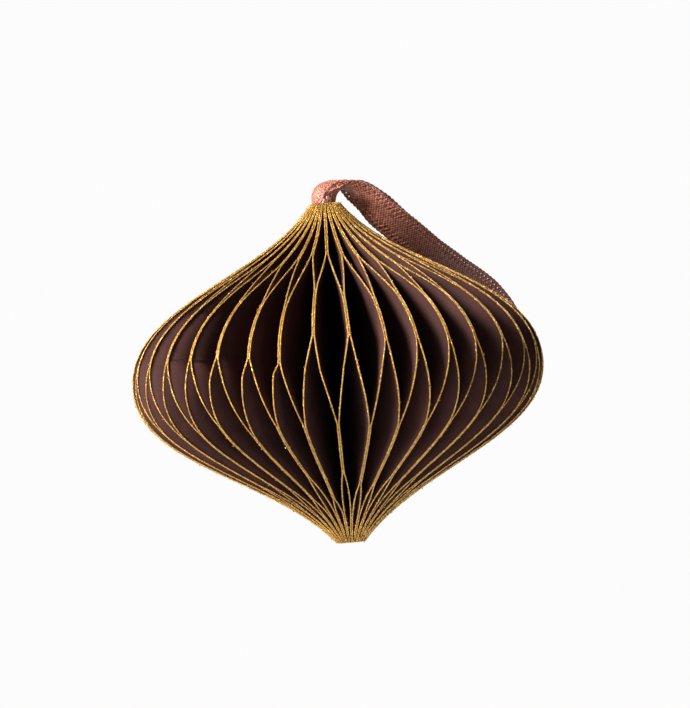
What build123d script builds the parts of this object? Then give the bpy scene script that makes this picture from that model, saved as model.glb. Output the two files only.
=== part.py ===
from build123d import *
import math
import os

# A honeycomb paper ornament: flat half-profile paper leaves stand around an axis and are glued to each
# other in turn, so that they open into long cells. Each cut edge carries gold glitter. A ribbon loop
# comes out of the hollow core at the neck, and a thin thread runs round inside the lower tip.
# Millimetres, +Z up. The origin is the hang point, at the middle of the neck's top. +Y is the back.

# The outline, measured from the widest level
BELLY_RADIUS = 40.0
NECK_HEIGHT = 33.4
NECK_RADIUS = 3.05
TIP_DEPTH = 32.6
TIP_RADIUS = 2.8

# How far the outline's curves keep their direction, as the handles of one cubic curve above the widest
# level and one below it, and how steeply each curve arrives at the neck and at the tip
SHOULDER_ROUNDING = 16.5
NECK_SWEEP = 16.5
NECK_SLOPE = 55.0
UNDERSIDE_ROUNDING = 15.0
TIP_SWEEP = 18.0
TIP_SLOPE = 50.0

# The paper
PAIRS = 36
PAPER = 0.16
GLUE_LINE = 0.008
FIRST_GLUE_ANGLE = -1.0

# Where the leaves are glued. At the neck each even leaf is glued to the odd one before it, at the belly to
# the odd one after it, below the belly to the one before again, and at the tip to the one after.
NECK_GLUE = 11.2
UPPER_OPENING = 8.6
BELLY_SPLIT = 4.3
BELLY_MERGE = 10.3
LOWER_OPENING = 6.4
TIP_GLUE = 5.1

# The glitter on the cut edges
GLITTER_DEPTH = 0.4
GLITTER_WIDTH = 0.38

# The thread inside the tip
THREAD = 0.25
THREAD_RISE = 3.3
THREAD_INSET = 0.5

# The ribbon
RIBBON_WIDTH = 6.5
RIBBON_GATHERED = 4.9
RIBBON_THICKNESS = 0.3
RIBBON_STRIPS = 4
CORNER_SHARE = 0.45

WEDGE = 180.0 / PAIRS
HALF_WEDGE = math.radians(WEDGE / 2)
# The leaves' inner edges stand side by side around the core, so the paper sets its size
CORE_RADIUS = (PAPER / 2 + GLUE_LINE) / math.sin(HALF_WEDGE)

NECK_SPLIT_LEVEL = NECK_HEIGHT - NECK_GLUE
UPPER_MERGE_LEVEL = NECK_SPLIT_LEVEL - UPPER_OPENING
TIP_MERGE_LEVEL = TIP_GLUE - TIP_DEPTH
LOWER_SPLIT_LEVEL = TIP_MERGE_LEVEL + LOWER_OPENING
THREAD_LEVEL = THREAD_RISE - TIP_DEPTH

# The levels where a cut edge turns, from the neck down, and how far the even leaf's edge has swung there:
# 0 against the leaf before it, 1 against the leaf after it
EDGE_STATIONS = [
    (NECK_HEIGHT, 0.0),
    ((NECK_HEIGHT + NECK_SPLIT_LEVEL) / 2, 0.0),
    (NECK_SPLIT_LEVEL, 0.0),
    (UPPER_MERGE_LEVEL, 1.0),
    ((UPPER_MERGE_LEVEL + BELLY_SPLIT) / 2, 1.0),
    (BELLY_SPLIT, 1.0),
    (0.0, BELLY_MERGE / (BELLY_SPLIT + BELLY_MERGE)),
    (-BELLY_MERGE / 2, BELLY_MERGE / 2 / (BELLY_SPLIT + BELLY_MERGE)),
    (-BELLY_MERGE, 0.0),
    (LOWER_SPLIT_LEVEL, 0.0),
    (TIP_MERGE_LEVEL, 1.0),
    (-TIP_DEPTH, 1.0),
]
# The straight inner edge's levels, and the cut edge's station down to which each one is joined. Each level
# joins only to the stretch of edge that it faces, so the sheet doesn't fold over itself at the hollow curves
# by the neck and the tip.
INNER_LEVELS = [NECK_HEIGHT, NECK_SPLIT_LEVEL, 0.0, TIP_MERGE_LEVEL, -TIP_DEPTH]
INNER_REACH = [1, 3, 8, 10, 11]

# The ribbon's route as it lies, from the core out over the right shoulder, round behind the belly and back
# into the core: a point on its middle, the direction to its upper edge, and how far it curls, in degrees
RIBBON_ROUTE = [
    ((1.62, -0.67, -8.5), (-0.38, -0.92, 0.0), 80),
    ((1.62, -0.67, -2.6), (-0.38, -0.92, 0.0), 80),
    ((1.70, -0.45, 1.0), (-0.38, -0.92, 0.0), 64),
    ((3.6, 0.8, 3.2), (0.05, -0.98, 0.05), 40),
    ((7.6, 1.8, 1.7), (0.30, -0.72, 0.62), 20),
    ((11.2, 3.2, -2.2), (0.50, -0.38, 0.78), 8),
    ((15.2, 5.6, -5.9), (0.58, -0.25, 0.77), 3),
    ((19.6, 9.8, -10.3), (0.60, -0.22, 0.77), 3),
    ((24.2, 15.8, -14.8), (0.62, -0.18, 0.76), 4),
    ((29.2, 21.0, -20.0), (0.66, 0.05, 0.74), 6),
    ((33.2, 24.2, -25.8), (0.74, 0.35, 0.57), 6),
    ((34.8, 27.4, -32.6), (0.78, 0.60, 0.18), 6),
    ((32.2, 29.8, -40.0), (0.72, 0.66, -0.20), 8),
    ((25.6, 31.0, -46.6), (0.58, 0.70, -0.42), 8),
    ((16.4, 32.2, -49.0), (0.36, 0.78, -0.51), 8),
    ((8.8, 36.6, -45.4), (0.18, 0.88, -0.44), 8),
    ((7.4, 41.2, -37.8), (0.20, 0.96, -0.18), 8),
    ((13.2, 41.6, -30.6), (0.34, 0.90, 0.26), 8),
    ((20.6, 36.8, -25.4), (0.45, 0.70, 0.55), 6),
    ((25.2, 29.2, -21.2), (0.56, 0.36, 0.74), 6),
    ((25.2, 21.2, -16.6), (0.60, 0.05, 0.79), 4),
    ((19.0, 12.6, -10.6), (0.60, -0.15, 0.78), 3),
    ((14.4, 7.6, -5.5), (0.58, -0.25, 0.77), 3),
    ((10.4, 5.0, -1.1), (0.50, -0.38, 0.78), 8),
    ((6.4, 3.2, 3.0), (0.30, -0.72, 0.62), 20),
    ((2.6, 2.0, 4.8), (0.05, -0.98, 0.05), 40),
    ((-1.2, 1.5, 4.0), (-0.25, -0.95, 0.0), 55),
    ((-2.5, 1.05, 1.4), (-0.38, -0.92, 0.0), 68),
    ((-1.62, 0.67, -2.6), (-0.38, -0.92, 0.0), 80),
    ((-1.62, 0.67, -8.5), (-0.38, -0.92, 0.0), 80),
]
# The curl at which the ribbon is gathered to its narrowest, and the curl below which it is at full width
TIGHT_CURL = 80
LOOSE_CURL = 40


def cubic(a, b, c, d, t):
    """A cubic curve's value for its four control values."""
    s = 1 - t
    return s**3 * a + 3 * s**2 * t * b + 3 * s * t**2 * c + t**3 * d


def radius_at(level):
    """The outline's radius at a level above (+) or below (-) the widest one."""
    if level >= 0:
        end_level, end_radius, slope = NECK_HEIGHT, NECK_RADIUS, math.radians(NECK_SLOPE)
        first, last = SHOULDER_ROUNDING, NECK_SWEEP
    else:
        end_level, end_radius, slope = TIP_DEPTH, TIP_RADIUS, math.radians(TIP_SLOPE)
        first, last = UNDERSIDE_ROUNDING, TIP_SWEEP
    heights = (0.0, first, end_level - last * math.sin(slope), end_level)
    radii = (BELLY_RADIUS, BELLY_RADIUS, end_radius + last * math.cos(slope), end_radius)
    low, high = 0.0, 1.0
    for _ in range(50):
        middle = (low + high) / 2
        if cubic(*heights, middle) < abs(level):
            low = middle
        else:
            high = middle
    return cubic(*radii, low)


def edge_point(radius, swing, width, level):
    """The middle of an edge of this width in the wedge between two glue planes, at swing 0 to 1."""
    across = (2 * swing - 1) * (radius * math.sin(HALF_WEDGE) - width / 2 - GLUE_LINE)
    return (math.sqrt(radius**2 - across**2), across, level - NECK_HEIGHT)


def beside(point, offset):
    """A point moved across the wedge."""
    return (point[0], point[1] + offset, point[2])


def flat_faced_solid(polygons):
    """A closed solid from flat polygons."""
    return Solid(Shell([Face(Wire.make_polygon(p, close=True)) for p in polygons]))


def cut_edge(swings):
    """The middle line of the paper's cut edge, just inside the glitter."""
    points = []
    for (level, _), swing in zip(EDGE_STATIONS, swings):
        points.append(edge_point(radius_at(level) - GLITTER_DEPTH, swing, PAPER, level))
    return points


def leaf_solid(swings):
    """One paper leaf: two parallel sheets of flat triangles and the narrow faces that close them."""
    outer = cut_edge(swings)
    inner = [(CORE_RADIUS * math.cos(HALF_WEDGE), 0.0, level - NECK_HEIGHT) for level in INNER_LEVELS]
    triangles = []
    done = 0
    for number, reach in enumerate(INNER_REACH):
        for i in range(done, reach):
            triangles.append((inner[number], outer[i], outer[i + 1]))
        if number + 1 < len(inner):
            triangles.append((inner[number], outer[reach], inner[number + 1]))
        done = reach
    half = PAPER / 2
    polygons = []
    for side in (-half, half):
        polygons += [[beside(p, side) for p in triangle] for triangle in triangles]
    border = [inner[0]] + outer + [inner[-1]]
    for a, b in zip(border, border[1:]):
        polygons.append([beside(a, -half), beside(b, -half), beside(b, half), beside(a, half)])
    polygons.append([beside(p, -half) for p in inner] + [beside(p, half) for p in reversed(inner)])
    return flat_faced_solid(polygons)


def glitter_solid(swings):
    """The glitter on one cut edge: it starts as wide as the paper and widens outwards."""
    sections = []
    for paper_edge, (level, _), swing in zip(cut_edge(swings), EDGE_STATIONS, swings):
        radius = radius_at(level)
        width = min(GLITTER_WIDTH, 2 * (radius * math.sin(HALF_WEDGE) - GLUE_LINE))
        crest = edge_point(radius, swing, width, level)
        sections.append(
            [
                beside(paper_edge, -PAPER / 2),
                beside(paper_edge, PAPER / 2),
                beside(crest, width / 2),
                beside(crest, -width / 2),
            ]
        )
    polygons = [sections[0], sections[-1]]
    for above, below in zip(sections, sections[1:]):
        for i in range(4):
            j = (i + 1) % 4
            polygons.append([above[i], above[j], below[j]])
            polygons.append([above[i], below[j], below[i]])
    return flat_faced_solid(polygons)


def thread_piece():
    """The thread across one cell of the tip, from leaf to leaf."""
    wedge = math.radians(WEDGE)
    middle = radius_at(THREAD_LEVEL) - GLITTER_DEPTH - THREAD_INSET
    height = THREAD_LEVEL - NECK_HEIGHT
    corners = {}
    for inward in (0, 1):
        x = middle + (0.5 - inward) * THREAD
        reach = (x * math.sin(wedge) - PAPER - 2 * GLUE_LINE) / math.cos(wedge)
        for side in (0, 1):
            for top in (0, 1):
                corners[inward, side, top] = (x, (2 * side - 1) * reach, height + (top - 0.5) * THREAD)
    square = [(0, 0), (0, 1), (1, 1), (1, 0)]
    polygons = []
    for fixed in (0, 1):
        polygons.append([corners[fixed, a, b] for a, b in square])
        polygons.append([corners[a, fixed, b] for a, b in square])
        polygons.append([corners[a, b, fixed] for a, b in square])
    return flat_faced_solid(polygons)


def blended(a, b, share):
    """A value or a vector between two others."""
    return a + (b - a) * share


def ribbon_stations():
    """The route with each corner rounded by an arc: place, travel, direction to the upper edge and curl."""
    places = [Vector(*place) for place, _, _ in RIBBON_ROUTE]
    uppers = [Vector(*upper) for _, upper, _ in RIBBON_ROUTE]
    curls = [curl for _, _, curl in RIBBON_ROUTE]
    stations = [(places[0], (places[1] - places[0]).normalized(), uppers[0], curls[0])]
    radii = []
    for i in range(1, len(places) - 1):
        run_in = places[i] - places[i - 1]
        run_out = places[i + 1] - places[i]
        travel_in, travel_out = run_in.normalized(), run_out.normalized()
        cut = CORNER_SHARE * min(run_in.length, run_out.length)
        half_turn = math.radians(travel_in.get_angle(travel_out)) / 2
        radius = cut / math.tan(half_turn)
        radii.append(round(radius, 1))
        inside = (travel_out - travel_in).normalized() * (radius / math.cos(half_turn) - radius)
        for place, travel, other, share in (
            (places[i] - travel_in * cut, travel_in, i - 1, cut / run_in.length),
            (places[i] + inside, (travel_in + travel_out).normalized(), i, 0.0),
            (places[i] + travel_out * cut, travel_out, i + 1, cut / run_out.length),
        ):
            upper = blended(uppers[i], uppers[other], share)
            stations.append((place, travel, upper, blended(curls[i], curls[other], share)))
    stations.append((places[-1], (places[-1] - places[-2]).normalized(), uppers[-1], curls[-1]))
    print("ribbon corner radii", radii)
    return stations


def ribbon_section(place, travel, upper, curl):
    """The ribbon's curled cross-section, as a ring of points."""
    facing = travel.cross(upper).normalized()
    upper = facing.cross(travel).normalized()
    tightness = max(0.0, (curl - LOOSE_CURL) / (TIGHT_CURL - LOOSE_CURL))
    width = blended(RIBBON_WIDTH, RIBBON_GATHERED, tightness)
    half_angle = math.radians(curl)
    radius = width / 2 / half_angle
    front, back = [], []
    for i in range(RIBBON_STRIPS + 1):
        angle = half_angle * (2 * i / RIBBON_STRIPS - 1)
        outward = facing * math.cos(angle) + upper * math.sin(angle)
        middle = place - facing * radius + outward * radius
        front.append(middle + outward * (RIBBON_THICKNESS / 2))
        back.append(middle - outward * (RIBBON_THICKNESS / 2))
    return front + back[::-1]


def ribbon_solid():
    """The whole ribbon as one flat-faced band."""
    stations = ribbon_stations()
    length = sum((b[0] - a[0]).length for a, b in zip(stations, stations[1:]))
    print("ribbon length", round(length, 1))
    rings = [ribbon_section(*station) for station in stations]
    size = len(rings[0])
    polygons = []
    for ring in (rings[0], rings[-1]):
        for i in range(RIBBON_STRIPS):
            polygons.append([ring[i], ring[i + 1], ring[size - 2 - i], ring[size - 1 - i]])
    for before, after in zip(rings, rings[1:]):
        for i in range(size):
            j = (i + 1) % size
            polygons.append([before[i], before[j], after[j]])
            polygons.append([before[i], after[j], after[i]])
    return flat_faced_solid(polygons)


def turned(solid, angle):
    """A copy turned about the ornament's axis."""
    return solid.rotate(Axis.Z, angle)


def around(even, odd):
    """One copy of a leaf's solid for every leaf, in order around the axis."""
    solids = []
    for leaf in range(2 * PAIRS):
        middle = FIRST_GLUE_ANGLE + WEDGE * (leaf + 0.5) - 90.0
        solids.append(turned(odd if leaf % 2 else even, middle))
    return solids


def write(name, solids):
    """Write one node's solids as one file."""
    shape = solids[0] if len(solids) == 1 else Compound(children=solids)
    shape.label = name
    export_step(shape, f"parts/{name}.step")


def main():
    """Build and write every node."""
    os.makedirs("parts", exist_ok=True)
    even_swings = [swing for _, swing in EDGE_STATIONS]
    odd_swings = [1 - swing for swing in even_swings]
    leaves = around(leaf_solid(even_swings), leaf_solid(odd_swings))
    for i in range(PAIRS):
        write(f"paper_leaves_{i + 1:02d}", [leaves[i], leaves[i + PAIRS]])
    edges = around(glitter_solid(even_swings), glitter_solid(odd_swings))
    quarter = PAIRS // 2
    for i in range(quarter):
        write(f"glitter_edges_{i + 1:02d}", edges[i::quarter])
    thread = thread_piece()
    pieces = [turned(thread, FIRST_GLUE_ANGLE + 2 * WEDGE * i - 90.0) for i in range(PAIRS)]
    write("tip_thread", pieces)
    write("hanging_ribbon", [ribbon_solid()])


main()
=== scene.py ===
import math
import random

import bpy
from mathutils import Matrix, Vector


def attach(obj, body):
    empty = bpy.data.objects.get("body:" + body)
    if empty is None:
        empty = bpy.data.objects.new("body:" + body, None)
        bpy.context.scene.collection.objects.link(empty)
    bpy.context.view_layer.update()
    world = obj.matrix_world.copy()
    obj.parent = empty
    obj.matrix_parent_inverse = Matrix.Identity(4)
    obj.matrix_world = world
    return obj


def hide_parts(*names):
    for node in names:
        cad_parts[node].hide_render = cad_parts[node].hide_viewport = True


# A honeycomb paper ornament: paper leaves with gold glitter on their cut edges, a ribbon loop and a thin
# thread inside the tip. Lengths named in millimetres are turned to metres by MM where points are made.

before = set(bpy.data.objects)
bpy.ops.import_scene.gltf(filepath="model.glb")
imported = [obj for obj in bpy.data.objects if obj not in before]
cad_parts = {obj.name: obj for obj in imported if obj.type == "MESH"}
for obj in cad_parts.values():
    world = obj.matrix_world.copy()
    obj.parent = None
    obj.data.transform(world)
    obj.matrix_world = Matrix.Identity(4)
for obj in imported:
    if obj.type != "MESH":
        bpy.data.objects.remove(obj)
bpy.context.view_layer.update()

MM = 0.001
SEED = 7
# The millimetres that one unit of a pattern's coordinates covers
PATTERN_UNIT = 100

# The outline, as the solid leaves have it, measured from the widest level
BELLY_RADIUS = 40.0
NECK_HEIGHT = 33.4
NECK_RADIUS = 3.05
TIP_DEPTH = 32.6
TIP_RADIUS = 2.8
SHOULDER_ROUNDING = 16.5
NECK_SWEEP = 16.5
NECK_SLOPE = math.radians(55.0)
UNDERSIDE_ROUNDING = 15.0
TIP_SWEEP = 18.0
TIP_SLOPE = math.radians(50.0)

# The leaves
PAIRS = 36
LEAVES = 2 * PAIRS
WEDGE = math.radians(180.0 / PAIRS)
FIRST_GLUE_ANGLE = math.radians(-1.0)
FRONT = math.radians(-90.0)
PAPER = 0.16
GLUE_LINE = 0.008
CORE_RADIUS = (PAPER / 2 + GLUE_LINE) / math.sin(WEDGE / 2)
LEAF_ROWS = 150
LEAF_COLUMNS = 7
# How far a leaf may bow sideways, less than the glue line
LEAF_BOW = 0.0075

# The levels where the leaves part and meet again
NECK_SPLIT = 22.2
UPPER_MERGE = 13.6
BELLY_SPLIT = 4.3
BELLY_MERGE = -10.3
LOWER_SPLIT = -21.1
TIP_MERGE = -27.5
# How a leaf's edge curves between its levels: the power above the belly, and the bulge near the tip
UPPER_POWER = 1.6
LOWER_BULGE = 0.3
# How unevenly the glue was laid, and how unevenly the leaves swing at the belly
LEVEL_SPREAD = 0.8
ANGLE_SPREAD = 0.4
LEAN_SPREAD = 0.08
# The glue planes in front as the photograph shows them: the angle by which each one is off, in degrees, and
# its levels from the top down, or None for one that the photograph doesn't show
SEEN_GLUES = {
    0: (0.0, 22.9, -10.2, -19.4),
    1: (0.1, 13.5, 6.2, -27.9),
    2: (0.0, 22.3, -11.0, -21.6),
    3: (0.1, 12.6, 4.8, None),
    4: (-0.6, 21.7, -11.3, -22.0),
    5: (-0.9, 13.3, 4.7, None),
    6: (-1.2, 20.7, -11.0, None),
    7: (-1.1, 13.2, None, None),
    8: (-1.9, 19.8, None, None),
    9: (-1.8, None, None, None),
    10: (-1.8, None, None, None),
    11: (-0.3, None, None, None),
    12: (-0.9, None, None, None),
    13: (0.8, None, None, None),
    14: (0.6, None, None, None),
    15: (1.0, None, None, None),
    16: (0.3, None, None, None),
    57: (0.3, None, None, None),
    58: (0.2, None, None, None),
    59: (1.2, None, None, None),
    60: (1.0, None, None, None),
    61: (1.3, None, None, None),
    62: (1.9, None, None, None),
    63: (1.7, None, None, None),
    64: (1.9, None, -8.8, -21.6),
    65: (1.5, None, 4.1, None),
    66: (1.7, 21.2, -11.4, -24.0),
    67: (1.6, 13.7, 3.3, None),
    68: (1.2, 22.2, -10.0, -19.8),
    69: (0.5, 12.4, 1.8, None),
    70: (-0.3, 22.9, -10.4, -24.2),
    71: (0.1, 15.3, 6.7, -27.3),
}
# How much more of its swing a leaf in front has done at the widest level than an even swing would give
SEEN_LEANS = {0: 0.08, 1: -0.06, 64: 0.2, 66: 0.17, 68: 0.25, 70: 0.12, 71: -0.15}

# The glitter, narrower below the belly, with the height over which it narrows
GLITTER_DEPTH = 0.2
GLITTER_WIDTH = 0.28
GLITTER_WIDTH_BELOW = 0.25
NARROWING_HEIGHT = 12.0
# The share of the room between leaves that the glitter fills where they crowd together
CROWDED_SHARE = 0.62
# The width that a bead keeps for itself, its ends beside the core, and how far its rough skin stands out
BEAD_ROOM = 1.2
BEAD_START = 0.35
BEAD_END_TAPER = 0.25
DEPTH_SWELL = 1.1
WIDTH_SWELL = 1.05
GLITTER_ROWS = 420
GLITTER_SIDES = 6
GRAIN_SPREAD = 0.16
# Loose grains on a leaf's edge, their size, and how far out and aside they sit
LOOSE_GRAINS = 26
GRAIN_SIZE = 0.11
GRAIN_OUT = 0.25
GRAIN_ASIDE = 0.3

# The thread inside the tip: its thickness, its level, its ring's radius, and the waves in which it strays
# outwards and upwards, each with a height, a number of waves in the ring and a start
THREAD = 0.25
THREAD_LEVEL = -29.3
THREAD_RING = 5.0
THREAD_STRAYS_OUT = ((0.12, 7, 0.0), (0.08, 17, 1.0))
THREAD_STRAYS_UP = ((0.18, 5, 0.4), (0.1, 13, 0.0))

# The ribbon, narrower where it's gathered in the neck
RIBBON_WIDTH = 6.5
RIBBON_GATHERED = 4.9
RIBBON_THICKNESS = 0.26
RIBBON_LENGTH = 203.0
# Half the curl's angle, in degrees, where the ribbon is gathered and where it has its full width
TIGHT_CURL = 80
LOOSE_CURL = 40
# The route's points: place from the middle of the neck's top, direction of the ribbon's upper edge, and half
# the curl's angle in degrees
RIBBON_ROUTE = [
    ((1.62, -0.67, -8.5), (-0.38, -0.92, 0.0), 80),
    ((1.62, -0.67, -2.6), (-0.38, -0.92, 0.0), 80),
    ((1.70, -0.45, 1.0), (-0.38, -0.92, 0.0), 64),
    ((3.6, 0.8, 3.2), (0.05, -0.98, 0.05), 40),
    ((7.6, 1.8, 1.7), (0.30, -0.72, 0.62), 20),
    ((11.2, 3.2, -2.2), (0.50, -0.38, 0.78), 8),
    ((15.2, 5.6, -5.9), (0.58, -0.25, 0.77), 3),
    ((19.6, 9.8, -10.3), (0.60, -0.22, 0.77), 3),
    ((24.2, 15.8, -14.8), (0.62, -0.18, 0.76), 4),
    ((29.2, 21.0, -20.0), (0.66, 0.05, 0.74), 6),
    ((33.2, 24.2, -25.8), (0.74, 0.35, 0.57), 6),
    ((34.8, 27.4, -32.6), (0.78, 0.60, 0.18), 6),
    ((32.2, 29.8, -40.0), (0.72, 0.66, -0.20), 8),
    ((25.6, 31.0, -46.6), (0.58, 0.70, -0.42), 8),
    ((16.4, 32.2, -49.0), (0.36, 0.78, -0.51), 8),
    ((8.8, 36.6, -45.4), (0.18, 0.88, -0.44), 8),
    ((7.4, 41.2, -37.8), (0.20, 0.96, -0.18), 8),
    ((13.2, 41.6, -30.6), (0.34, 0.90, 0.26), 8),
    ((20.6, 36.8, -25.4), (0.45, 0.70, 0.55), 6),
    ((25.2, 29.2, -21.2), (0.56, 0.36, 0.74), 6),
    ((25.2, 21.2, -16.6), (0.60, 0.05, 0.79), 4),
    ((19.0, 12.6, -10.6), (0.60, -0.15, 0.78), 3),
    ((14.4, 7.6, -5.5), (0.58, -0.25, 0.77), 3),
    ((10.4, 5.0, -1.1), (0.50, -0.38, 0.78), 8),
    ((6.4, 3.2, 3.0), (0.30, -0.72, 0.62), 20),
    ((2.6, 2.0, 4.8), (0.05, -0.98, 0.05), 40),
    ((-1.2, 1.5, 4.0), (-0.25, -0.95, 0.0), 55),
    ((-2.5, 1.05, 1.4), (-0.38, -0.92, 0.0), 68),
    ((-1.62, 0.67, -2.6), (-0.38, -0.92, 0.0), 80),
    ((-1.62, 0.67, -8.5), (-0.38, -0.92, 0.0), 80),
]
# The ribbon's fine grid, its small selvage loops, and its selvage holes in cells of that grid
RIBBON_STEP = 0.25
RIBBON_CELLS = 26
SELVAGE_LOOP = 0.3
HOLE_PITCH = 4
# Each row of holes: cells from the selvage to its middle, shift along the ribbon in steps, and hole radius
HOLE_ROWS = ((3, 0, 0.17), (6, 2, 0.13))
# How far the ribbon has slid sideways off its route, toward its upper edge, at the route's points
RIBBON_SLIDES = {4: -0.6, 5: -0.5, 6: -0.2, 8: 0.8, 9: 2.0, 10: 2.5, 11: 1.2, 25: 1.0, 26: 1.9, 27: 2.0}

# The photograph's view: the camera's distance in metres, and where the picture's middle lies from the middle
# of the widest level, in the photograph's pixels
CAMERA_DISTANCE = 0.9
CAMERA_ELEVATION = math.radians(-2.0)
CAMERA_ROLL = math.radians(4.4)
PHOTO_LONG_SIDE = 708
SENSOR = 36.0
MM_PER_PIXEL = 0.1942
CENTRE_RIGHT_PX = 7
CENTRE_UP_PX = 21

# The floor, in metres: what the camera sees of it, what it throws back up, and how much of it glows
FLOOR_SIZE = 6.0
FLOOR_LEVEL = -0.25
FLOOR_SEEN = (0.95, 0.95, 0.95, 1)
FLOOR_THROWN = (0.6, 0.6, 0.6, 1)
FLOOR_GLOW_SHARE = 0.6
# The light from all round, and the white behind the object
WORLD_STRENGTH = 0.12
BACKGROUND = (0.975, 0.975, 0.975, 1)
# The soft lamps: name, place, width, power in watts, and the point that each one faces, in metres
LAMPS = (
    ("key", (-0.76, -0.54, 0.58), 0.35, 29.0, (0, 0, -0.03)),
    ("low_fill", (-0.95, -0.72, -0.12), 0.2, 9.0, (0, 0, -0.05)),
    ("back", (0.75, 0.95, 0.55), 0.4, 10.0, (0, 0, -0.04)),
)

random.seed(SEED)


def srgb(red, green, blue):
    """A colour written in screen values, as the shader wants it."""
    values = []
    for c in (red, green, blue):
        c /= 255
        values.append(c / 12.92 if c <= 0.04045 else ((c + 0.055) / 1.055) ** 2.4)
    return (*values, 1.0)


def cubic(a, b, c, d, t):
    """A cubic curve's value for its four control values."""
    s = 1 - t
    return s**3 * a + 3 * s**2 * t * b + 3 * s * t**2 * c + t**3 * d


def outline():
    """The outline from neck to tip as evenly spaced (radius, level) points."""
    points = []
    steps = 400
    neck_pull = NECK_RADIUS + NECK_SWEEP * math.cos(NECK_SLOPE)
    neck_rise = NECK_HEIGHT - NECK_SWEEP * math.sin(NECK_SLOPE)
    for i in range(steps):
        t = 1 - i / steps
        radius = cubic(BELLY_RADIUS, BELLY_RADIUS, neck_pull, NECK_RADIUS, t)
        level = cubic(0, SHOULDER_ROUNDING, neck_rise, NECK_HEIGHT, t)
        points.append((radius, level))
    tip_pull = TIP_RADIUS + TIP_SWEEP * math.cos(TIP_SLOPE)
    tip_fall = TIP_DEPTH - TIP_SWEEP * math.sin(TIP_SLOPE)
    for i in range(steps + 1):
        t = i / steps
        radius = cubic(BELLY_RADIUS, BELLY_RADIUS, tip_pull, TIP_RADIUS, t)
        level = cubic(0, UNDERSIDE_ROUNDING, tip_fall, TIP_DEPTH, t)
        points.append((radius, -level))
    return points


def resampled(points, count):
    """A polyline's points spread evenly along it."""
    lengths = [0.0]
    for a, b in zip(points, points[1:]):
        lengths.append(lengths[-1] + math.dist(a, b))
    spread = []
    j = 0
    for i in range(count):
        want = lengths[-1] * i / (count - 1)
        while j < len(points) - 2 and lengths[j + 1] < want:
            j += 1
        run = lengths[j + 1] - lengths[j]
        share = (want - lengths[j]) / run if run else 0.0
        spread.append(tuple(a + (b - a) * share for a, b in zip(points[j], points[j + 1])))
    return spread


OUTLINE = outline()


class Glue:
    """One glue plane: its angle, and the three levels at which its two leaves part or meet."""

    def __init__(self, number):
        # An even plane holds at the neck and below the belly, an odd one at the belly and at the tip
        even = [NECK_SPLIT, BELLY_MERGE, LOWER_SPLIT]
        odd = [UPPER_MERGE, BELLY_SPLIT, TIP_MERGE]
        plain_levels = odd if number % 2 else even
        offset = random.uniform(-ANGLE_SPREAD, ANGLE_SPREAD)
        levels = [level + random.uniform(-LEVEL_SPREAD, LEVEL_SPREAD) for level in plain_levels]
        seen = SEEN_GLUES.get(number)
        if seen:
            offset = seen[0]
            levels = [level if level is not None else plain for level, plain in zip(seen[1:], levels)]
        self.even_angle = FIRST_GLUE_ANGLE + FRONT + WEDGE * number
        self.angle = self.even_angle + math.radians(offset)
        self.first, self.second, self.third = levels


GLUES = [Glue(i) for i in range(LEAVES)]
LEANS = [SEEN_LEANS.get(i, random.uniform(-LEAN_SPREAD, LEAN_SPREAD)) for i in range(LEAVES)]


def swing(even, odd, lean, level):
    """How far a leaf's edge has swung from its even glue plane (0) to its odd one (1)."""
    if level >= even.first:
        return 0.0
    if level > odd.first:
        t = (even.first - level) / (even.first - odd.first)
        return 1 - (1 - t) ** UPPER_POWER
    if level >= odd.second:
        return 1.0
    if level > even.second:
        halfway = odd.second / (odd.second - even.second) + lean
        if level > 0:
            return 1 - halfway * (odd.second - level) / odd.second
        return (1 - halfway) * (1 - level / even.second)
    if level >= even.third:
        return 0.0
    if level > odd.third:
        t = (even.third - level) / (even.third - odd.third)
        return t + LOWER_BULGE * t * (1 - t)
    return 1.0


def leaf_angle(leaf, radius, level, width):
    """The angle at which a leaf's edge of this width stands, at a radius and a level."""
    low, high = GLUES[leaf], GLUES[(leaf + 1) % LEAVES]
    turn = 2 * math.pi if leaf == LEAVES - 1 else 0.0
    share = 1 - swing(high, low, LEANS[leaf], level) if leaf % 2 else swing(low, high, LEANS[leaf], level)
    margin = math.asin(min(1.0, (width / 2 + GLUE_LINE) / radius))
    start, end = low.angle + margin, high.angle + turn - margin
    return start + (end - start) * share


def point_at(radius, angle, level):
    """A point of the ornament, in metres."""
    return Vector((radius * math.cos(angle), radius * math.sin(angle), level - NECK_HEIGHT)) * MM


def mesh_piece(name, points, faces, material, smooth=True, uvs=None):
    """A mesh object that rides on the part's one body."""
    mesh = bpy.data.meshes.new(name)
    mesh.from_pydata(points, [], faces)
    mesh.materials.append(material)
    if uvs:
        layer = mesh.uv_layers.new(name="lie")
        for loop in mesh.loops:
            layer.data[loop.index].uv = uvs[loop.vertex_index]
    mesh.validate()
    mesh.update()
    mesh.polygons.foreach_set("use_smooth", [smooth] * len(mesh.polygons))
    piece = bpy.data.objects.new(name, mesh)
    bpy.context.scene.collection.objects.link(piece)
    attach(piece, "root")
    return piece


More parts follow.
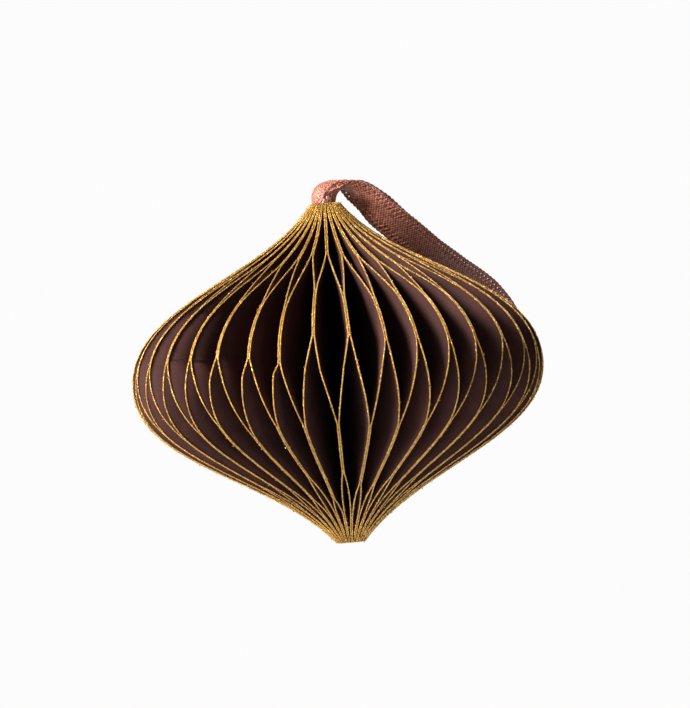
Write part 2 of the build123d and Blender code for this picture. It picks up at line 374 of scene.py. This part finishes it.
def leaf_mesh(leaf, points, faces, uvs):
    """One paper leaf, added to a growing mesh: two faces and the thin border that closes them."""
    middle = GLUES[leaf].even_angle + WEDGE / 2
    start = len(points)
    rows = resampled(OUTLINE, LEAF_ROWS)
    bow = random.uniform(-LEAF_BOW, LEAF_BOW)
    for radius, level in rows:
        edge_radius = radius - GLITTER_DEPTH
        angle = leaf_angle(leaf, edge_radius, level, PAPER)
        inner = point_at(CORE_RADIUS, middle, level)
        outer = point_at(edge_radius, angle, level)
        along = outer - inner
        aside = Vector((-along.y, along.x, 0)).normalized() * MM
        free = math.sin(math.pi * min(1.0, radius / BELLY_RADIUS)) * bow
        for side in (-1, 1):
            for column in range(LEAF_COLUMNS + 1):
                share = column / LEAF_COLUMNS
                lift = side * PAPER / 2 + free * math.sin(math.pi * share)
                points.append(inner + along * share + aside * lift)
                pattern_radius = CORE_RADIUS + (edge_radius - CORE_RADIUS) * share
                uvs.append((pattern_radius / PATTERN_UNIT, level / PATTERN_UNIT))
    width = 2 * (LEAF_COLUMNS + 1)

    def corner(row, side, column):
        return start + row * width + side * (LEAF_COLUMNS + 1) + column

    for row in range(LEAF_ROWS - 1):
        for column in range(LEAF_COLUMNS):
            a, b = corner(row, 0, column), corner(row, 0, column + 1)
            c, d = corner(row + 1, 0, column + 1), corner(row + 1, 0, column)
            faces.append((a, b, c, d))
            a, b = corner(row, 1, column), corner(row, 1, column + 1)
            c, d = corner(row + 1, 1, column + 1), corner(row + 1, 1, column)
            faces.append((d, c, b, a))
        for column, flip in ((0, False), (LEAF_COLUMNS, True)):
            quad = [corner(row, 0, column), corner(row + 1, 0, column)]
            quad += [corner(row + 1, 1, column), corner(row, 1, column)]
            faces.append(tuple(quad[::-1]) if flip else tuple(quad))
    for row, flip in ((0, True), (LEAF_ROWS - 1, False)):
        for column in range(LEAF_COLUMNS):
            quad = [corner(row, 0, column), corner(row, 0, column + 1)]
            quad += [corner(row, 1, column + 1), corner(row, 1, column)]
            faces.append(tuple(quad[::-1]) if flip else tuple(quad))


def glitter_path():
    """The glitter's line: in from the core over the neck's cut, down the outline and in under the tip."""
    start = (CORE_RADIUS + BEAD_START, NECK_HEIGHT)
    end = (CORE_RADIUS + BEAD_START, -TIP_DEPTH)
    return resampled([start] + OUTLINE + [end], GLITTER_ROWS)


GLITTER_PATH = glitter_path()


def grain(points, faces, centre, size):
    """One loose grain: a small eight-faced crystal turned at random."""
    spin = random.uniform(0, 6.28)
    axis_of_spin = Vector((random.random(), random.random(), 1)).normalized()
    turn = Matrix.Rotation(spin, 3, axis_of_spin)
    start = len(points)
    for axis in range(3):
        for sign in (-1, 1):
            arm = Vector((0, 0, 0))
            arm[axis] = sign * size * random.uniform(0.7, 1.2)
            points.append(centre + turn @ arm * MM)
    for x in (0, 1):
        for y in (2, 3):
            for z in (4, 5):
                corners = (start + x, start + y, start + z)
                faces.append(corners if (x + y + z) % 2 else corners[::-1])


# Every leaf's loose grains, gathered as one piece
loose_points, loose_faces = [], []


def glitter_mesh(leaf, points, faces):
    """The glitter along one leaf's cut edge: a rough bead, with a few grains that stand out from it."""
    start = len(points)
    last = len(GLITTER_PATH) - 1
    for i, (radius, level) in enumerate(GLITTER_PATH):
        before, after = GLITTER_PATH[max(0, i - 1)], GLITTER_PATH[min(last, i + 1)]
        run = Vector((after[0] - before[0], after[1] - before[1])).normalized()
        inwards = Vector((run.y, -run.x))
        half = GLITTER_DEPTH / 2
        middle_radius = radius + inwards.x * half
        middle_level = level + inwards.y * half
        room = middle_radius * math.sin(WEDGE / 2) - GLUE_LINE
        below = min(1.0, max(0.0, 0.5 - level / NARROWING_HEIGHT))
        wanted = GLITTER_WIDTH + (GLITTER_WIDTH_BELOW - GLITTER_WIDTH) * below
        width = min(wanted, 2 * room * CROWDED_SHARE)
        angle = leaf_angle(leaf, middle_radius, level, width * BEAD_ROOM)
        centre = point_at(middle_radius, angle, middle_level)
        outwards = Vector((math.cos(angle) * -inwards.x, math.sin(angle) * -inwards.x, -inwards.y))
        aside = Vector((-math.sin(angle), math.cos(angle), 0))
        taper = BEAD_END_TAPER if i in (0, last) else 1.0
        for side in range(GLITTER_SIDES):
            around = 2 * math.pi * (side + 0.5 * (i % 2)) / GLITTER_SIDES
            rough = taper * (1 + random.uniform(-GRAIN_SPREAD, GRAIN_SPREAD))
            reach = outwards * (math.cos(around) * half * DEPTH_SWELL)
            reach += aside * (math.sin(around) * width / 2 * WIDTH_SWELL)
            points.append(centre + reach * rough * MM)
        if 0 < i < last and random.random() < LOOSE_GRAINS / len(GLITTER_PATH):
            offset = outwards * random.uniform(0.0, GRAIN_OUT)
            offset += aside * random.uniform(-GRAIN_ASIDE, GRAIN_ASIDE)
            grain(loose_points, loose_faces, centre + offset * MM, GRAIN_SIZE * random.uniform(0.7, 1.3))
    for i in range(last):
        for side in range(GLITTER_SIDES):
            nxt = (side + 1) % GLITTER_SIDES
            a, b = start + i * GLITTER_SIDES + side, start + i * GLITTER_SIDES + nxt
            c, d = b + GLITTER_SIDES, a + GLITTER_SIDES
            faces.append((a, b, c, d))
    faces.append(tuple(start + side for side in reversed(range(GLITTER_SIDES))))
    faces.append(tuple(start + last * GLITTER_SIDES + side for side in range(GLITTER_SIDES)))


def new_material(name):
    """An empty node material and helpers to fill it."""
    material = bpy.data.materials.new(name)
    material.use_nodes = True
    nodes = material.node_tree.nodes
    shader = nodes["Principled BSDF"]
    return material, nodes, material.node_tree.links, shader


def ramp(nodes, stops):
    """A colour ramp with these (place, colour) stops."""
    node = nodes.new("ShaderNodeValToRGB")
    elements = node.color_ramp.elements
    while len(elements) < len(stops):
        elements.new(0.5)
    for element, (place, colour) in zip(elements, stops):
        element.position = place
        element.color = colour
    return node


def texture(nodes, links, kind, scale, source=None, **settings):
    """A texture in object space, or in the space that source gives."""
    node = nodes.new(kind)
    if source is None:
        source = nodes.new("ShaderNodeTexCoord").outputs["Object"]
    links.new(source, node.inputs["Vector"])
    node.inputs["Scale"].default_value = scale
    for key, value in settings.items():
        node.inputs[key].default_value = value
    return node


def paper_material():
    """Dark burgundy paper, matt, with a soft unevenness and fine fibres."""
    material, nodes, links, shader = new_material("leaf_paper")
    cloud = texture(nodes, links, "ShaderNodeTexNoise", 120.0, Detail=3.0)
    fibre = texture(nodes, links, "ShaderNodeTexNoise", 2600.0, Detail=4.0, Roughness=0.7)
    mix = nodes.new("ShaderNodeMix")
    mix.inputs["Factor"].default_value = 0.45
    links.new(cloud.outputs["Fac"], mix.inputs["A"])
    links.new(fibre.outputs["Fac"], mix.inputs["B"])
    colours = ramp(nodes, [(0.3, srgb(50, 26, 22)), (0.55, srgb(67, 37, 32)), (0.75, srgb(84, 49, 42))])
    links.new(mix.outputs["Result"], colours.inputs["Fac"])
    links.new(colours.outputs["Color"], shader.inputs["Base Color"])
    shader.inputs["Roughness"].default_value = 0.85
    shader.inputs["Specular IOR Level"].default_value = 0.25
    bump = nodes.new("ShaderNodeBump")
    bump.inputs["Strength"].default_value = 0.12
    bump.inputs["Distance"].default_value = 0.00006
    links.new(fibre.outputs["Fac"], bump.inputs["Height"])
    links.new(bump.outputs["Normal"], shader.inputs["Normal"])
    return material


def glitter_material():
    """Gold glitter: small mirror grains that each face their own way."""
    material, nodes, links, shader = new_material("gold_glitter")
    cells = texture(nodes, links, "ShaderNodeTexVoronoi", 5200.0)
    split = nodes.new("ShaderNodeSeparateColor")
    links.new(cells.outputs["Color"], split.inputs["Color"])
    colours = ramp(
        nodes,
        [
            (0.0, srgb(138, 88, 30)),
            (0.35, srgb(196, 140, 56)),
            (0.75, srgb(232, 182, 88)),
            (1.0, srgb(255, 230, 148)),
        ],
    )
    links.new(split.outputs["Red"], colours.inputs["Fac"])
    links.new(colours.outputs["Color"], shader.inputs["Base Color"])
    shader.inputs["Metallic"].default_value = 0.45
    shader.inputs["Roughness"].default_value = 0.38
    centred = nodes.new("ShaderNodeVectorMath")
    centred.operation = "SUBTRACT"
    centred.inputs[1].default_value = (0.5, 0.5, 0.5)
    links.new(cells.outputs["Color"], centred.inputs[0])
    tilt = nodes.new("ShaderNodeVectorMath")
    tilt.operation = "SCALE"
    tilt.inputs["Scale"].default_value = 1.3
    links.new(centred.outputs["Vector"], tilt.inputs[0])
    geometry = nodes.new("ShaderNodeNewGeometry")
    added = nodes.new("ShaderNodeVectorMath")
    links.new(geometry.outputs["Normal"], added.inputs[0])
    links.new(tilt.outputs["Vector"], added.inputs[1])
    unit = nodes.new("ShaderNodeVectorMath")
    unit.operation = "NORMALIZE"
    links.new(added.outputs["Vector"], unit.inputs[0])
    links.new(unit.outputs["Vector"], shader.inputs["Normal"])
    return material


def thread_material():
    """Pale gold thread with a fine twist."""
    material, nodes, links, shader = new_material("gold_thread")
    twist = texture(nodes, links, "ShaderNodeTexNoise", 9000.0, Detail=2.0)
    colours = ramp(nodes, [(0.35, srgb(170, 130, 66)), (0.65, srgb(228, 198, 130))])
    links.new(twist.outputs["Fac"], colours.inputs["Fac"])
    links.new(colours.outputs["Color"], shader.inputs["Base Color"])
    shader.inputs["Metallic"].default_value = 0.3
    shader.inputs["Roughness"].default_value = 0.5
    return material


def ribbon_material():
    """Rose brown satin with a fine diagonal weave of its own, whose pale flecks in the colour are painted
    sheen.
    """
    material, nodes, links, shader = new_material("satin_ribbon")
    coordinates = nodes.new("ShaderNodeTexCoord").outputs["UV"]
    flecks_with_painted_sheen = texture(nodes, links, "ShaderNodeTexNoise", 130.0, coordinates, Detail=4.0, Roughness=0.7)
    crossed = []
    for turn in (34, -38):
        slant = nodes.new("ShaderNodeMapping")
        slant.inputs["Rotation"].default_value = (0, 0, math.radians(turn))
        links.new(coordinates, slant.inputs["Vector"])
        turned = slant.outputs["Vector"]
        crossed.append(texture(nodes, links, "ShaderNodeTexWave", 64.0, turned, Distortion=1.2, Detail=2.0))
    weave = nodes.new("ShaderNodeMath")
    weave.operation = "MULTIPLY"
    for wave, socket in zip(crossed, weave.inputs):
        links.new(wave.outputs["Fac"], socket)
    mix = nodes.new("ShaderNodeMix")
    mix.inputs["Factor"].default_value = 0.3
    links.new(flecks_with_painted_sheen.outputs["Fac"], mix.inputs["A"])
    links.new(weave.outputs["Value"], mix.inputs["B"])
    # The weave and fleck pattern is the ribbon's own; the pale end of these colours is painted sheen on the
    # satin.
    colours = ramp(
        nodes,
        [(0.24, srgb(98, 44, 34)), (0.4, srgb(162, 92, 72)), (0.58, srgb(216, 150, 126))],
    )
    links.new(mix.outputs["Result"], colours.inputs["Fac"])
    links.new(colours.outputs["Color"], shader.inputs["Base Color"])
    shader.inputs["Roughness"].default_value = 0.45
    shader.inputs["Sheen Weight"].default_value = 0.1
    shader.inputs["Sheen Roughness"].default_value = 0.4
    bump = nodes.new("ShaderNodeBump")
    bump.inputs["Strength"].default_value = 0.7
    bump.inputs["Distance"].default_value = 0.00012
    links.new(mix.outputs["Result"], bump.inputs["Height"])
    links.new(bump.outputs["Normal"], shader.inputs["Normal"])
    return material


def route_line():
    """Points along the ribbon's smooth centre line, in metres, from the route's own spline."""
    curve = bpy.data.curves.new("ribbon_route", "CURVE")
    curve.dimensions = "3D"
    curve.resolution_u = 24
    spline = curve.splines.new("NURBS")
    spline.points.add(len(RIBBON_ROUTE) - 1)
    for point, (place, _, _) in zip(spline.points, RIBBON_ROUTE):
        point.co = (*(Vector(place) * MM), 1.0)
    spline.order_u = 3
    spline.use_endpoint_u = True
    carrier = bpy.data.objects.new("ribbon_route", curve)
    bpy.context.scene.collection.objects.link(carrier)
    bpy.context.view_layer.update()
    line = bpy.data.meshes.new_from_object(carrier)
    places = [v.co.copy() for v in line.vertices]
    bpy.data.meshes.remove(line)
    bpy.data.objects.remove(carrier)
    bpy.data.curves.remove(curve)
    return places


def lie_at(share):
    """The upper edge's direction, the curl and the slide at a share of the spline's run of points."""
    last = len(RIBBON_ROUTE) - 1
    spans = last - 1
    want = share * spans
    # Where along the spline each route point acts most: the ends at its ends, the others half a span on
    knots = [0.0] + [i + 0.5 for i in range(spans)] + [float(spans)]
    i = 0
    while i < last - 1 and knots[i + 1] < want:
        i += 1
    part = (want - knots[i]) / (knots[i + 1] - knots[i])
    (_, upper_a, curl_a), (_, upper_b, curl_b) = RIBBON_ROUTE[i], RIBBON_ROUTE[i + 1]
    slide_a, slide_b = RIBBON_SLIDES.get(i, 0.0), RIBBON_SLIDES.get(i + 1, 0.0)
    upper = Vector(upper_a).lerp(Vector(upper_b), part)
    return upper, curl_a + (curl_b - curl_a) * part, slide_a + (slide_b - slide_a) * part


def hole_at(i, j):
    """The middle of the selvage hole that this grid point is in or beside, and the hole's radius."""
    for row, shift, radius in HOLE_ROWS:
        for middle in (row, RIBBON_CELLS - row):
            nearest = round((i - shift) / HOLE_PITCH) * HOLE_PITCH + shift
            if abs(j - middle) <= 1 and abs(i - nearest) <= 1:
                return nearest, middle, radius
    return None


def ribbon_grid():
    """The curled ribbon's grid of points, with the points around each selvage hole pulled to a circle."""
    line = route_line()
    marks = [(*(p / MM), i / (len(line) - 1)) for i, p in enumerate(line)]
    marks = resampled(marks, int(RIBBON_LENGTH / RIBBON_STEP))
    places = [Vector(m[:3]) for m in marks]
    frames = []
    for i, mark in enumerate(marks):
        travel = (places[min(i + 2, len(places) - 1)] - places[max(i - 2, 0)]).normalized()
        upper, curl, slide = lie_at(mark[3])
        facing = travel.cross(upper).normalized()
        upper = facing.cross(travel).normalized()
        tightness = max(0.0, (curl - LOOSE_CURL) / (TIGHT_CURL - LOOSE_CURL))
        width = RIBBON_WIDTH + (RIBBON_GATHERED - RIBBON_WIDTH) * tightness
        half_angle = math.radians(curl)
        frames.append((travel, upper, facing, half_angle, width / 2 / half_angle, slide))
    points, uvs = [], []
    for i in range(len(marks)):
        for j in range(RIBBON_CELLS + 1):
            along, across = float(i), float(j)
            hole = hole_at(i, j)
            if hole and (i, j) != hole[:2]:
                pull = hole[2] / RIBBON_STEP / math.hypot(i - hole[0], j - hole[1])
                along = hole[0] + (i - hole[0]) * pull
                across = hole[1] + (j - hole[1]) * pull
            if j in (0, RIBBON_CELLS):
                across += SELVAGE_LOOP * math.sin(2 * math.pi * i / HOLE_PITCH)
            travel, upper, facing, half_angle, radius, slide = frames[i]
            angle = half_angle * (2 * across / RIBBON_CELLS - 1) + slide / radius
            outward = facing * math.cos(angle) + upper * math.sin(angle)
            shift = travel * (along - i) * RIBBON_STEP
            points.append((places[i] + shift + (outward - facing) * radius) * MM)
            crosswise = across * RIBBON_WIDTH / RIBBON_CELLS
            uvs.append((along * RIBBON_STEP / PATTERN_UNIT, crosswise / PATTERN_UNIT))
    return points, uvs, [place * MM for place in places]


def ribbon(material):
    """The whole ribbon: a fine curled grid with selvage holes, given its thickness."""
    points, uvs, path = ribbon_grid()
    size = RIBBON_CELLS + 1
    faces = []
    for i in range(len(path) - 1):
        for j in range(RIBBON_CELLS):
            corners = [(i, j), (i, j + 1), (i + 1, j + 1), (i + 1, j)]
            holes = [hole_at(*corner) for corner in corners]
            if not any(hole and hole[:2] == corner for hole, corner in zip(holes, corners)):
                faces.append([a * size + b for a, b in corners])
    used = sorted({index for face in faces for index in face})
    place_of = {old: new for new, old in enumerate(used)}
    faces = [tuple(place_of[index] for index in face) for face in faces]
    points, uvs = [points[index] for index in used], [uvs[index] for index in used]
    sheet = mesh_piece("hanging_ribbon_loop", points, faces, material, uvs=uvs)
    thicken = sheet.modifiers.new("thickness", "SOLIDIFY")
    thicken.thickness = RIBBON_THICKNESS * MM
    thicken.offset = 0.0
    bpy.context.view_layer.update()
    graph = bpy.context.evaluated_depsgraph_get()
    solid = bpy.data.meshes.new_from_object(sheet.evaluated_get(graph))
    sheet.modifiers.clear()
    sheet.data = solid
    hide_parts("hanging_ribbon")


def strayed(waves, angle):
    """How far the thread strays at an angle round the ring."""
    return sum(height * math.sin(angle * count + start) for height, count, start in waves)


def tip_thread(material):
    """A thin thread that runs round inside the tip, through the leaves."""
    points, faces = [], []
    steps, sides = LEAVES * 4, 6
    for i in range(steps):
        angle = 2 * math.pi * i / steps
        middle = THREAD_RING + strayed(THREAD_STRAYS_OUT, angle)
        level = THREAD_LEVEL + strayed(THREAD_STRAYS_UP, angle)
        for side in range(sides):
            around = 2 * math.pi * side / sides
            radius = middle + THREAD / 2 * math.cos(around)
            points.append(point_at(radius, angle, level + THREAD / 2 * math.sin(around)))
            j, other = (i + 1) % steps, (side + 1) % sides
            a, b = i * sides + side, j * sides + side
            faces.append((a, i * sides + other, j * sides + other, b))
    piece = mesh_piece("tip_thread_ring", points, faces, material)
    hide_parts("tip_thread")


def all_leaves(material):
    """Every leaf, two opposite ones to a piece, as the solids are."""
    for i in range(PAIRS):
        points, faces, uvs = [], [], []
        leaf_mesh(i, points, faces, uvs)
        leaf_mesh(i + PAIRS, points, faces, uvs)
        piece = mesh_piece(f"leaf_pair_{i + 1:02d}", points, faces, material, uvs=uvs)
        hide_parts(f"paper_leaves_{i + 1:02d}")


def all_glitter(material):
    """The glitter on every leaf, four lines to a piece as the solids are, and the loose grains as one."""
    quarter = PAIRS // 2
    for i in range(quarter):
        points, faces = [], []
        for leaf in range(i, LEAVES, quarter):
            glitter_mesh(leaf, points, faces)
        piece = mesh_piece(f"glitter_line_{i + 1:02d}", points, faces, material, smooth=False)
        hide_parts(f"glitter_edges_{i + 1:02d}")
    piece = mesh_piece("loose_glitter_grains", loose_points, loose_faces, material, smooth=False)


def floor_material():
    """A surface that the camera sees as an even white with shadows, and that throws less light back up."""
    material, nodes, links, shader = new_material("floor_white")
    seen = nodes.new("ShaderNodeMix")
    seen.data_type = "RGBA"
    seen.inputs["A"].default_value = FLOOR_THROWN
    seen.inputs["B"].default_value = FLOOR_SEEN
    links.new(seen.outputs["Result"], shader.inputs["Base Color"])
    shader.inputs["Roughness"].default_value = 0.9
    glow = nodes.new("ShaderNodeEmission")
    glow.inputs["Color"].default_value = FLOOR_SEEN
    glow.inputs["Strength"].default_value = 1.0
    path = nodes.new("ShaderNodeLightPath")
    mix = nodes.new("ShaderNodeMixShader")
    glow_share = nodes.new("ShaderNodeMath")
    glow_share.operation = "MULTIPLY"
    glow_share.inputs[1].default_value = FLOOR_GLOW_SHARE
    links.new(path.outputs["Is Camera Ray"], glow_share.inputs[0])
    links.new(path.outputs["Is Camera Ray"], seen.inputs["Factor"])
    links.new(glow_share.outputs["Value"], mix.inputs["Fac"])
    links.new(shader.outputs["BSDF"], mix.inputs[1])
    links.new(glow.outputs["Emission"], mix.inputs[2])
    links.new(mix.outputs["Shader"], nodes["Material Output"].inputs["Surface"])
    return material


def stage():
    """A plain pale floor well below the hanging ornament."""
    bpy.ops.mesh.primitive_plane_add(size=FLOOR_SIZE, location=(0, 0, FLOOR_LEVEL))
    floor = bpy.context.object
    floor.name = "floor"
    floor.data.materials.append(floor_material())


def world_light():
    """Soft white light from all round, and an even white behind the object."""
    world = bpy.data.worlds.new("studio")
    bpy.context.scene.world = world
    world.use_nodes = True
    nodes, links = world.node_tree.nodes, world.node_tree.links
    soft = nodes["Background"]
    soft.inputs["Color"].default_value = (1, 1, 1, 1)
    soft.inputs["Strength"].default_value = WORLD_STRENGTH
    seen = nodes.new("ShaderNodeBackground")
    seen.inputs["Color"].default_value = BACKGROUND
    seen.inputs["Strength"].default_value = 1.0
    path = nodes.new("ShaderNodeLightPath")
    either = nodes.new("ShaderNodeMath")
    either.operation = "MAXIMUM"
    links.new(path.outputs["Is Camera Ray"], either.inputs[0])
    links.new(path.outputs["Is Transmission Ray"], either.inputs[1])
    mix = nodes.new("ShaderNodeMixShader")
    links.new(either.outputs["Value"], mix.inputs["Fac"])
    links.new(soft.outputs["Background"], mix.inputs[1])
    links.new(seen.outputs["Background"], mix.inputs[2])
    links.new(mix.outputs["Shader"], nodes["World Output"].inputs["Surface"])


def lamp(name, place, size, power, target):
    """A square soft lamp that faces a point."""
    data = bpy.data.lights.new(name, "AREA")
    data.shape = "SQUARE"
    data.size = size
    data.energy = power
    piece = bpy.data.objects.new(name, data)
    piece.location = place
    piece.rotation_mode = "QUATERNION"
    piece.rotation_quaternion = (Vector(target) - Vector(place)).to_track_quat("-Z", "Y")
    bpy.context.scene.collection.objects.link(piece)


def camera():
    """The photograph's view: a long lens, a little below, rolled so that the top leans left."""
    data = bpy.data.cameras.new("camera")
    data.sensor_width = SENSOR
    pixels_per_mm = 1 / MM_PER_PIXEL
    data.lens = CAMERA_DISTANCE / MM * pixels_per_mm / PHOTO_LONG_SIDE * SENSOR
    data.clip_end = 50
    piece = bpy.data.objects.new("camera", data)
    back = Vector((0, -math.cos(CAMERA_ELEVATION), math.sin(CAMERA_ELEVATION)))
    level_right = (-back).cross(Vector((0, 0, 1))).normalized()
    level_up = level_right.cross(-back)
    right = level_right * math.cos(CAMERA_ROLL) - level_up * math.sin(CAMERA_ROLL)
    up = level_up * math.cos(CAMERA_ROLL) + level_right * math.sin(CAMERA_ROLL)
    belly = Vector((0, 0, -NECK_HEIGHT)) * MM
    aim = belly + (right * CENTRE_RIGHT_PX + up * CENTRE_UP_PX) * MM_PER_PIXEL * MM
    piece.location = aim + back * CAMERA_DISTANCE
    piece.rotation_mode = "QUATERNION"
    piece.rotation_quaternion = Matrix((right, up, back)).transposed().to_quaternion()
    bpy.context.scene.collection.objects.link(piece)
    bpy.context.scene.camera = piece


camera()
ribbon(ribbon_material())
all_leaves(paper_material())
all_glitter(glitter_material())
tip_thread(thread_material())
stage()
world_light()
for settings in LAMPS:
    lamp(*settings)
bpy.context.scene.view_settings.view_transform = "Standard"
